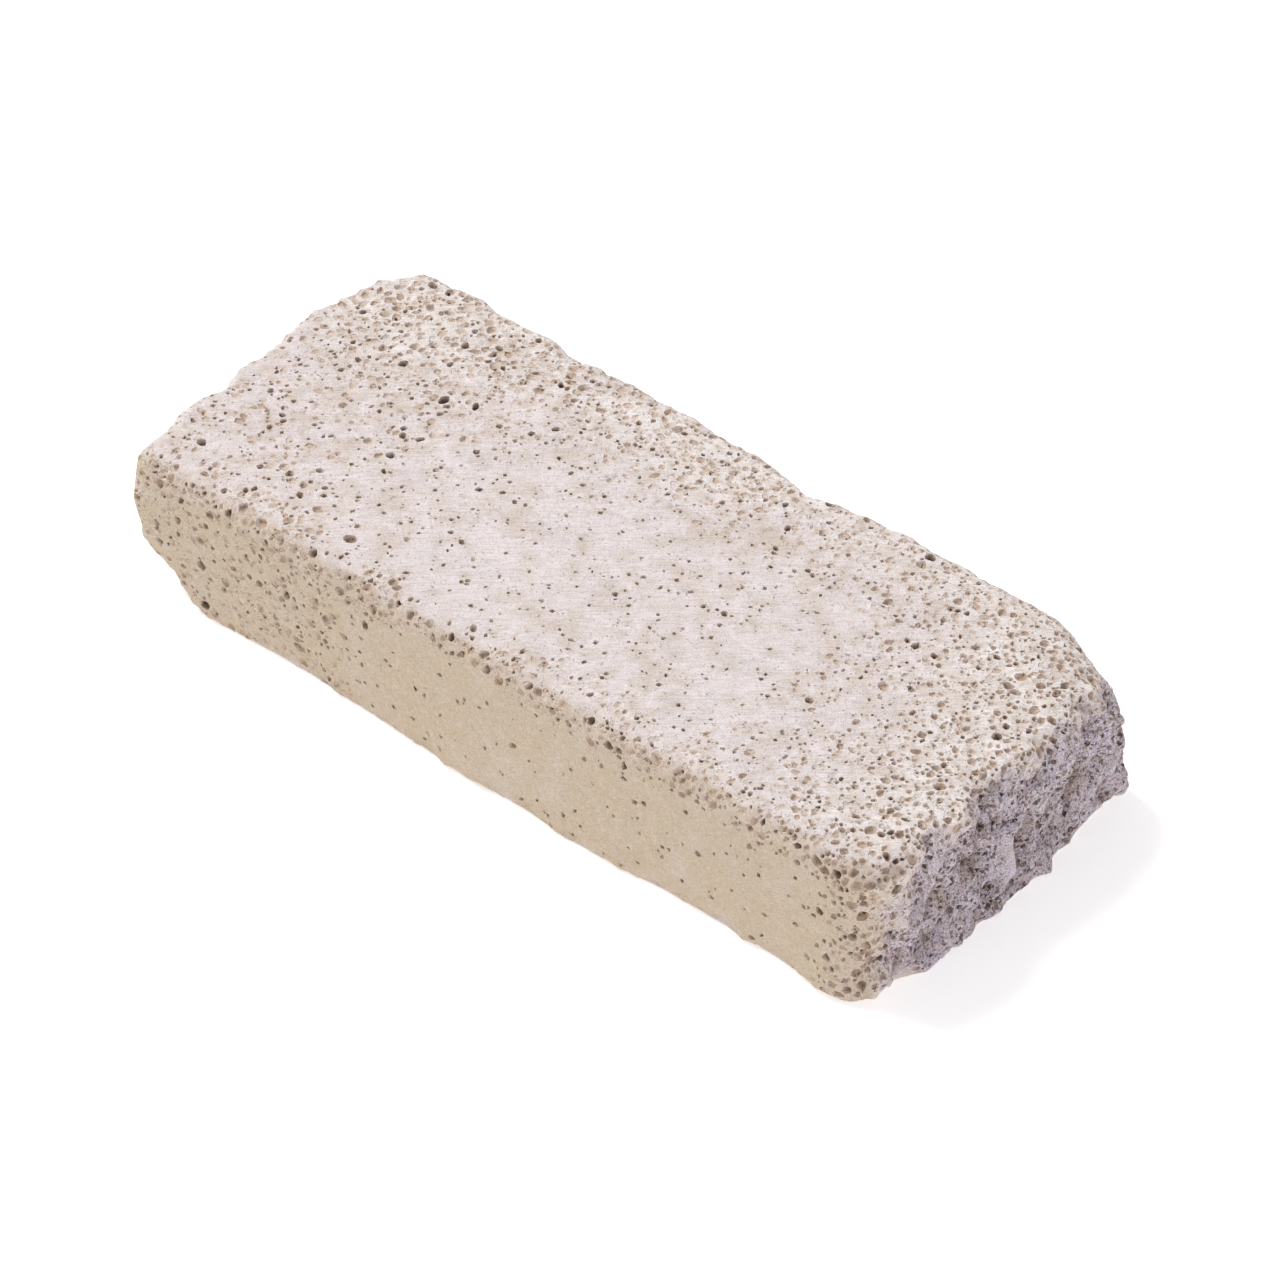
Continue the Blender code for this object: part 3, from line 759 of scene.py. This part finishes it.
def crowds(at, radius):
    """A crowd number for each bubble, so that no two in a crowd touch."""
    cell = 2 * REACH * radius.max()
    cells = {}
    crowd = np.zeros(len(at), int)
    for i in range(len(at)):
        home, near = near_in(cells, at[i], cell)
        if near:
            gaps = np.linalg.norm(at[near] - at[i], axis=1) - REACH * (radius[near] + radius[i])
            taken = {int(crowd[j]) for j, gap in zip(near, gaps) if gap < 0}
            crowd[i] = next(number for number in range(99) if number not in taken)
        cells.setdefault(home, []).append(i)
    return crowd


def cut(thing, at, out, radius, depth, neighbours):
    """Take a crowd of bubbles out of the bar."""
    wide, small = radius > BOWL_FROM, radius < CUP_FROM
    points, faces, count = [], [], 0
    for kind, chosen in (("bowl", wide), ("cone", small), ("cup", ~wide & ~small)):
        if chosen.any():
            new_points, new_faces = plugs(*(a[chosen] for a in (at, out, radius, depth)),
                                          kind, neighbours)
            points.append(new_points)
            faces += [[count + i for i in face] for face in new_faces]
            count += len(new_points)
    tool = mesh_object("plugs", np.concatenate(points), faces)
    difference = thing.modifiers.new("bubbles", "BOOLEAN")
    difference.operation = "DIFFERENCE"
    difference.solver = "MANIFOLD"
    difference.object = tool
    bake_modifiers(thing)
    bpy.data.objects.remove(tool)


tree_of_bubbles = KDTree(len(bubble_at))
for number, at in enumerate(bubble_at):
    tree_of_bubbles.insert(Vector(at), number)
tree_of_bubbles.balance()


def close_by(at, radius):
    """Places and radii of the bubbles that press on the one at this place."""
    found = tree_of_bubbles.find_range(Vector(at), 1.5 * (radius + LARGEST))
    return [(bubble_at[i], bubble_radius[i]) for _, i, gap in found
            if 0 < gap < 1.4 * (radius + bubble_radius[i])]


def alone(at, radius):
    """A window has nothing beside it."""
    return ()


crowd_of = crowds(bubble_at, bubble_radius)
skin = BVHTree.FromPolygons([v.co.copy() for v in bar.data.vertices],
                            [tuple(p.vertices) for p in bar.data.polygons])
for number in range(crowd_of.max() + 1):
    mine = crowd_of == number
    cut(bar, bubble_at[mine], bubble_out[mine], bubble_radius[mine], bubble_depth[mine], close_by)
    print("crowd", number, int(mine.sum()), "bubbles,", len(bar.data.polygons), "faces")
cut(bar, window_at, window_out, window_radius, window_depth, alone)
crevices = crevice_at, crevice_out, crevice_radius, crevice_depth
for turn in range(3):                # every third bubble at a time: none of these touch
    cut(bar, *(values[turn::3] for values in crevices), alone)
print("windows and crevices cut,", len(bar.data.polygons), "faces")

# %% [markdown]
# The cut leaves slivers that say nothing. Collapsing the flattest edges again brings the
# stone to its budget of triangles. Smooth shading with sharp edges kept turns the facets
# of a pit into a bowl and leaves its rim crisp.

# %% Budget, place and shading
STONE_TRIANGLES = 196000
SHARP_FROM = math.radians(38)
bpy.context.view_layer.update()
triangles = sum(len(p.vertices) - 2 for p in bar.data.polygons)
if triangles > STONE_TRIANGLES:
    thin_out(bar, STONE_TRIANGLES / triangles)
print("stone:", triangles, "triangles cut to", len(bar.data.polygons))

# %% [markdown]
# The finer stone is centred the way the solid is, so the two share their box. A few
# values are then written on every point for the material to read: how deep the point
# lies under the uncut skin, which tells pit walls from the outside; which kind of face it
# is on; how near the floor of a pit it is; how far inside the plain form it has sunk; and
# where the stone is stained, softly round some bubbles and in eight places with a name.

# %% Values for the material
STAINS = [  # name, middle, half sizes: softly browned places
    ("dish near the back", (12, 14.5, TOP), (4.2, 2.6, 4)),
    ("dull patch in front of it", (6.3, 9.6, TOP), (2.6, 1.8, 4)),
    ("front rim, by the dish", (3, -22.8, TOP), (2.6, 1.4, 4)),
    ("slit in the side", (22.7, FRONT, 16.8), (0.9, 4, 2.4)),
    ("near hollow", (END, -6.3, 11), (4, 1.8, 2.6)),
    ("middle hollow", (END, 3.4, 9.6), (4, 1.8, 2.4)),
    ("far pitted hollow", (END, 14.6, 10.6), (4, 3.4, 3)),
    ("brown mark", (END, -12.2, 9.1), (4, 1.5, 2.4)),
]

stone_points = np.array([vertex.co[:] for vertex in bar.data.vertices])
below_skin = np.array([skin.find_nearest(Vector(p))[3] for p in stone_points]) / MM
on_form = onto_form(stone_points / MM)
facing = normals(on_form)
porous, broken = openness(on_form, facing)
wavy = 0.22 * noise(on_form, 3.0, 3.1) + 0.18 * noise(on_form, 1.2, 8.8)
upward = ramp(facing[:, 2] + wavy, 0.05, 0.95)
upward *= 1 - 0.45 * ramp(3 * wavy - on_form[:, 1], 22.0, 25.5)
sideways = ramp(-facing[:, 1] - wavy, 0.20, 0.95) * (1 - broken)
sideways *= 1 - 0.34 * ramp(on_form[:, 2] + 4 * wavy, 17.6, 21.2)
found = [tree_of_bubbles.find(p)[1:] for p in stone_points / MM]
nearest = np.array([number for number, _ in found])
away = np.array([gap for _, gap in found]) / bubble_radius[nearest]
chance = rng.random(len(bubble_at))[nearest]
bowl_floor, mouth = bubble_depth[nearest], bubble_radius[nearest]
in_pit = np.where(bowl_floor > mouth, ramp(below_skin / mouth, 0.5, 1.4),
                  ramp(below_skin - bowl_floor, 0.0, 0.18))
ragged = on_form + 0.9 * noise(on_form, 1.6, 4.6)[:, None]
stains = [np.exp(-(((ragged - at) / half) ** 2).sum(axis=1) ** 1.5) for _, at, half in STAINS]
sunk = ((on_form - stone_points / MM) * facing).sum(axis=1) - below_skin
for name, values in (("depth", below_skin), ("luck", chance), ("pit", in_pit), ("sunk", sunk),
                     ("kind", np.stack([upward, sideways, broken, porous], axis=1)),
                     ("halo", (1 - ramp(away, 1.0, 2.4)) * ramp(chance, 0.2, 0.8)),
                     ("stain", np.max(stains, axis=0))):
    kind, field = ("FLOAT", "value") if values.ndim == 1 else ("FLOAT_COLOR", "color")
    bar.data.attributes.new(name, kind, "POINT").data.foreach_set(field, values.ravel())
print("mm from the plain form:", [round(float(v), 2) for v in (sunk.min(), sunk.max())])
bar_low, bar_high = bar_points.min(axis=0), bar_points.max(axis=0)
solid_middle = (Vector(stone_low) + Vector(stone_high)) / 2
bar_middle = Vector((*((bar_low + bar_high) / 2)[:2], 0)) * MM
shift = Vector((solid_middle.x, solid_middle.y, 0)) - bar_middle
bar.data.transform(Matrix.Translation(shift))
bar.data.shade_smooth()
bar.data.set_sharp_from_angle(angle=SHARP_FROM)
print("deepest pit, mm:", round(float(below_skin.max()), 2))

# %% [markdown]
# ## A socket that can do sums
#
# Shader maths is easier to read as sums than as boxes and lines. This class holds one
# output socket. Adding, subtracting or multiplying two of them adds the Math node
# that does it and gives back its output.

# %% The socket class
class Wire:
    """One output of a material's node, which takes part in Python sums."""

    def __init__(self, socket):
        self.socket = socket

    def make(self, kind, settings=None, inputs=None, output=0):
        """Add a node, set it up, feed its sockets with values or wires, return an output."""
        tree = self.socket.id_data
        node = tree.nodes.new(kind)
        for name, value in (settings or {}).items():
            setattr(node, name, value)
        for name, value in (inputs or {}).items():
            if isinstance(value, Wire):
                tree.links.new(value.socket, node.inputs[name])
            else:
                node.inputs[name].default_value = value
        return Wire(node.outputs[output])

    def math(self, operation, *values):
        return self.make("ShaderNodeMath", {"operation": operation}, dict(enumerate(values)))

    def __add__(self, other):
        return self.math("ADD", self, other)

    def __sub__(self, other):
        return self.math("SUBTRACT", self, other)

    def __rsub__(self, other):
        return self.math("SUBTRACT", other, self)

    def __mul__(self, other):
        return self.math("MULTIPLY", self, other)

    __radd__ = __add__
    __rmul__ = __mul__

    def ramp(self, low, high):
        """0 below low, 1 above high, smooth between."""
        return self.make("ShaderNodeMapRange", {"interpolation_type": "SMOOTHSTEP"},
                         {"Value": self, "From Min": low, "From Max": high})

    def blend(self, under, over, mode="MIX"):
        """Two colours mixed with this wire as the mask."""
        return self.make("ShaderNodeMix", {"data_type": "RGBA", "blend_type": mode},
                         {0: self, 6: under, 7: over}, output=2)

    def vector(self, operation, other):
        """Sums with vectors: this one and another, or three numbers."""
        return self.make("ShaderNodeVectorMath", {"operation": operation}, {0: self, 1: other})


# %% [markdown]
# ## The stone's finish
#
# Most colours here sit on something that really happens to pumice; some are painted
# light and shade. Dust from rubbing whitens the top, which is also painted lighter as
# the lit face. The side that was never rubbed with water keeps the tan of the block, and
# its darker, warmer colour is partly painted shade and warm light. The break is fresh
# glass foam, cooler and darker: its cool cast is partly painted shade, and its hollows
# are darkened as painted shade. Inside a bubble the walls are beige near the mouth and
# brown further down, the darkening with depth partly painted shade. A cloudy unevenness
# a few millimetres wide runs through all of it, and the finest bubbles, too small for the
# mesh, are specks that are both dark and sunk, their dark partly painted shade. Bright
# tips on the torn break are a painted highlight. The layers are listed from the bottom
# up, each with its mask.

# %% Material
def rgb(red, green, blue):
    """A colour as painters' numbers from 0 to 255, in the linear light the shader wants."""
    levels = [value / 255 for value in (red, green, blue)]
    linear = [v / 12.92 if v < 0.04045 else ((v + 0.055) / 1.055) ** 2.4 for v in levels]
    return (*linear, 1.0)


# partly painted light: the top colour is lighter and the side colour darker and warmer than the
# stone alone, for the light each face gets; the break colour has a cool cast for its shade
DUSTY_TOP_AND_PAINTED_LIGHT = rgb(243, 234, 235)
OPEN_WALLS = rgb(255, 249, 247)
TAN_SIDE_AND_PAINTED_SHADE = rgb(208, 190, 166)
PLAIN_SAWN = rgb(222, 210, 204)
FRESH_BREAK_AND_PAINTED_COOL_SHADE = rgb(250, 240, 255)
TAN_BREAK = rgb(248, 232, 238)
PINK = rgb(228, 210, 208)
GREEN = rgb(214, 212, 198)
PALE_CLOUD = rgb(230, 222, 226)
WARM_CLOUD = rgb(220, 207, 190)
BOWL_PALE = rgb(238, 223, 210)
BOWL_BROWN = rgb(217, 193, 171)
# partly painted shade: a browner wall colour for deeper in a pit
PIT_WALL_BROWN_AND_SHADE = rgb(190, 166, 146)
STAINED = rgb(206, 190, 168)
# partly painted shade: the dark of a pit's floor and of holes too small to cut
PIT_FLOOR_BROWN_AND_SHADE = rgb(104, 86, 72)
BREAK_PIT = rgb(206, 188, 196)
# partly painted shade: the dark of fine pores and torn cells
PORE_BROWN_AND_SHADE = rgb(128, 108, 96)
TORN_PORE_SHADE = rgb(92, 77, 74)
# painted highlight on the break's froth tips, also the colour of its pale streaks
PALE_STREAK_AND_HIGHLIGHT = rgb(255, 250, 255)
# painted shade for the break's sunk hollows
HOLLOW_SHADE = rgb(186, 164, 152)
DUST = rgb(150, 136, 128)
RUB = rgb(196, 184, 178)

stone = bpy.data.materials.new("pumice, rubbed and broken")
stone.use_nodes = True
shader = stone.node_tree.nodes["Principled BSDF"]
start = Wire(stone.node_tree.nodes.new("ShaderNodeTexCoord").outputs["Object"])
place = start.vector("MULTIPLY", (1 / MM,) * 3)


def stored(name, output=2):
    """A value that the mesh carries on its points: a colour (0), a number (2), alpha (3)."""
    return start.make("ShaderNodeAttribute", {"attribute_name": name}, output=output)


depth, luck, pit = map(stored, ("depth", "luck", "pit"))
sunk, stain, halo = map(stored, ("sunk", "stain", "halo"))
kind, open_share = stored("kind", 0), stored("kind", 3)
top, side, fresh = (kind.make("ShaderNodeSeparateColor", inputs={0: kind}, output=channel)
                    for channel in range(3))


def turned(axis, angle):
    """The place, turned about an axis, so that a texture can be stretched aslant."""
    return place.make("ShaderNodeVectorRotate", {"rotation_type": "AXIS_ANGLE"}, {
        "Vector": place, "Axis": axis, "Angle": math.radians(angle)})


def cloud(size, detail=2.0, roughness=0.5, stretch=(1, 1, 1), offset=0.0, coords=place, output=0):
    """Noise from 0 to 1 with lumps that wide, in millimetres."""
    moved = coords.vector("MULTIPLY", stretch).vector("ADD", (offset,) * 3)
    return place.make("ShaderNodeTexNoise", output=output, inputs={
        "Vector": moved, "Scale": 1 / size, "Detail": detail, "Roughness": roughness})


def bent(amount, size, coords=place):
    """Coordinates pushed about a little, so that round bubbles come out crooked."""
    push = cloud(size, 1.0, output=1).vector("SUBTRACT", (0.5,) * 3)
    return coords.vector("ADD", push.vector("MULTIPLY", (amount,) * 3))


crooked = bent(0.9, 0.7)


def specks(size, offset, reach, rare=None, coords=crooked):
    """Fine bubbles: 1 inside the first reach, 0 beyond the second, and some left out."""
    distance = place.make("ShaderNodeTexVoronoi", {"feature": "F1", "distance": "EUCLIDEAN"}, {
        "Vector": coords.vector("ADD", (offset,) * 3), "Scale": 1 / size, "Randomness": 1.0})
    random = Wire(distance.socket.node.outputs["Color"])
    chance = random.make("ShaderNodeSeparateColor", inputs={0: random})
    return (1 - distance.ramp(*reach)) * (chance.ramp(*rare) if rare else chance)


# fine bubbles, three sizes: half-filled bowls, dark specks, and grains; the specks and grains are
# darkened partly as painted shade of their hollows
inside = depth.ramp(0.03, 0.14)
bowl = specks(1.15, 3.0, (0.24, 0.40)) * open_share.ramp(0.2, 0.7) * (1 - inside)
speck = specks(0.80, 0.0, (0.08, 0.26), (0.45, 0.75)) * (0.32 + open_share * 0.30 - side * 0.18)
grain = specks(0.36, 7.0, (0.10, 0.38), (0.3, 0.8)) * (0.4 + open_share * 0.4)

# the break: torn cells, long one way, fewer of them along pale streaks; the cells are darkened
# partly as painted shade of their hollows
leaning = turned((1, 0, 0), 62)
aslant = bent(0.6, 0.6, leaning).vector("MULTIPLY", (1, 1, 0.5))
streak = cloud(3.2, 2.0, 0.55, (1, 1, 0.45), 97, leaning).ramp(0.50, 0.66)
froth = fresh * open_share.ramp(0.1, 0.6) * (1 - streak * 0.55)
tear = specks(0.62, 11.0, (0.14, 0.40), (0.15, 0.65), aslant) * froth
fray = specks(0.30, 17.0, (0.12, 0.42), (0.2, 0.7), aslant) * froth
# painted highlight: bright tips of the torn froth
painted_highlight = specks(0.40, 29.0, (0.10, 0.40), (0.45, 0.75), aslant) * froth

# painted shade: dark spots in the floors of the light bowls, for holes into the bubbles below
core = specks(0.62, 23.0, (0.12, 0.30), (0.35, 0.55), bent(0.4, 0.5)) * depth.ramp(0.08, 0.20)

# the outside: kinds of face, their colours partly painted light (the top lighter, the side darker
# and warmer, the break cooler), then clouds, then stains
break_color = cloud(2.6, 3.0, 0.6, offset=66).ramp(0.38, 0.62).blend(FRESH_BREAK_AND_PAINTED_COOL_SHADE, TAN_BREAK)
slow = cloud(7.0, 3.0)
color = top.blend(PLAIN_SAWN, DUSTY_TOP_AND_PAINTED_LIGHT)
for mask, over in (
        (top.ramp(0.6, 1.0) * open_share.ramp(0.35, 0.80) * 0.9, OPEN_WALLS),
        (side, TAN_SIDE_AND_PAINTED_SHADE),
        (fresh, (streak * 0.5).blend(break_color, PALE_STREAK_AND_HIGHLIGHT)),
        (slow.ramp(0.45, 0.75) * (0.5 - side * 0.32), PALE_CLOUD),
        (cloud(2.4, 4.0, 0.6, offset=31).ramp(0.50, 0.72) * 0.28, WARM_CLOUD),
        (cloud(0.8, 2.0, offset=71).ramp(0.50, 0.65) * 0.28, PINK),
        (cloud(0.8, 2.0, offset=83).ramp(0.50, 0.65) * 0.28, GREEN),
        (stain * 0.55, STAINED),
        (halo * (1 - fresh) * 0.42, STAINED)):
    color = mask.blend(color, over)

# inside the cut bubbles: beige or brown by chance, then darker with depth and towards the floor of
# a pit, partly the walls' brown and partly painted shade
blotch = cloud(0.45, 2.0, offset=91).ramp(0.35, 0.60)
walls = luck.blend(BOWL_PALE, BOWL_BROWN)
for mask, over in ((depth.ramp(0.22, 0.70), PIT_WALL_BROWN_AND_SHADE), (depth.ramp(0.60, 1.3), PIT_FLOOR_BROWN_AND_SHADE),
                   (pit * (0.35 + blotch * 0.50), PIT_FLOOR_BROWN_AND_SHADE), (core * 0.70, PIT_FLOOR_BROWN_AND_SHADE)):
    walls = mask.blend(walls, over)
walls = (fresh * 0.6).blend(walls, BREAK_PIT, "MULTIPLY")

# both together, the finest bubbles (their dark partly painted shade), the painted highlight on the
# break's tips, and what darkens or dulls all of it
for mask, over in ((bowl * 0.55, BOWL_BROWN), (speck * 0.85, PORE_BROWN_AND_SHADE), (grain * 0.40, PORE_BROWN_AND_SHADE),
                   (inside * 0.92, walls), (tear * 0.72, PORE_BROWN_AND_SHADE), (fray * 0.56, TORN_PORE_SHADE),
                   (painted_highlight * 0.60, PALE_STREAK_AND_HIGHLIGHT)):
    color = mask.blend(color, over)
dust = cloud(0.22, 2.0, 0.7, offset=52)
rubs = cloud(0.30, 3.0, 0.6, (0.10, 1, 1), 40, turned((0, 0, 1), -41))
# painted shade: the sunk hollows of the break are darkened; dust and rub marks follow
for mask, over in ((sunk.ramp(0.6, 3.2) * fresh * 0.70, HOLLOW_SHADE),
                   (dust.ramp(0.35, 0.65) * (0.23 + fresh * 0.25), DUST),
                   (rubs.ramp(0.42, 0.62) * top * 0.24, RUB)):
    color = mask.blend(color, over, "MULTIPLY")

# height of what the mesh is too coarse for, in millimetres
sand = cloud(0.28, 3.0, 0.65, offset=5) * (0.16 + fresh * 0.42 + side * 0.08)
soft = cloud(1.6, 3.0, 0.55, offset=12) * 0.30
height = sand + soft + rubs * top * 0.18 + painted_highlight * 0.24
for hole, amount in ((core, 0.20), (bowl, 0.22), (speck, 0.26), (grain, 0.10), (tear, 0.42),
                     (fray, 0.30)):
    height = height - hole * amount
bump = place.make("ShaderNodeBump", inputs={"Height": height, "Strength": 1.0, "Distance": MM})

tree = stone.node_tree
tree.links.new(color.socket, shader.inputs["Base Color"])
tree.links.new(bump.socket, shader.inputs["Normal"])
tree.links.new((0.90 + slow * 0.10).socket, shader.inputs["Roughness"])
shader.inputs["Specular IOR Level"].default_value = 0.25
bar.data.materials.clear()
bar.data.materials.append(stone)
print("material:", len(tree.nodes), "nodes")

# %% Hand the stone over
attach(bar, "root")
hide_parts("pumice_stone")

# %% [markdown]
# ## Floor and light
#
# The light is a product table's: a sheet of white acrylic with a little light of its own
# from below, a soft lamp high on the left that models the pores with short shadows, and
# the white room doing the rest. The left lamp is why the far walls of the pits glow while
# the near walls stay dark, and the lit sheet keeps the stone's own shadow faint.

# %% Floor
FLOOR_SIZE = 6.0
corners = np.array([(-1, -1, 0), (1, -1, 0), (1, 1, 0), (-1, 1, 0)])
floor = mesh_object("floor", corners * FLOOR_SIZE / 2 / MM, [(0, 1, 2, 3)])
glow = bpy.data.materials.new("white acrylic, lit from below")
glow.use_nodes = True
acrylic = glow.node_tree.nodes["Principled BSDF"]
for name, value in (("Base Color", (0.92, 0.92, 0.92, 1)), ("Roughness", 0.9),
                    ("Specular IOR Level", 0.2), ("Emission Color", (1, 1, 1, 1)),
                    ("Emission Strength", 0.42)):
    acrylic.inputs[name].default_value = value
floor.data.materials.append(glow)


# %% Lamps and room
def lamp(name, toward, distance, size, power, color):
    """A square soft lamp that far off in that direction, turned to the stone."""
    light = bpy.data.lights.new(name, "AREA")
    light.size = size
    light.energy = power
    light.color = color
    out = Vector(toward).normalized()
    turn = out.to_track_quat("Z", "Y").to_matrix().to_4x4()
    placed(name, light, Matrix.Translation(out * distance) @ turn)


lamp("window on the left", (-0.55, -0.04, 0.84), 2.4, 0.85, 41.0, (1.0, 0.985, 0.97))
lamp("warm card in front", (-0.05, -1.0, 0.45), 1.0, 0.5, 0.7, (1.0, 0.95, 0.88))
lamp("cool card at the end", (1.0, -0.1, 0.35), 1.0, 0.4, 2.1, (0.92, 0.86, 1.0))

room = bpy.data.worlds.new("white room")
room.use_nodes = True
background = room.node_tree.nodes["Background"]
background.inputs["Color"].default_value = (1, 1, 1, 1)
background.inputs["Strength"].default_value = 0.48
bpy.context.scene.world = room
bpy.context.scene.view_settings.view_transform = "Standard"
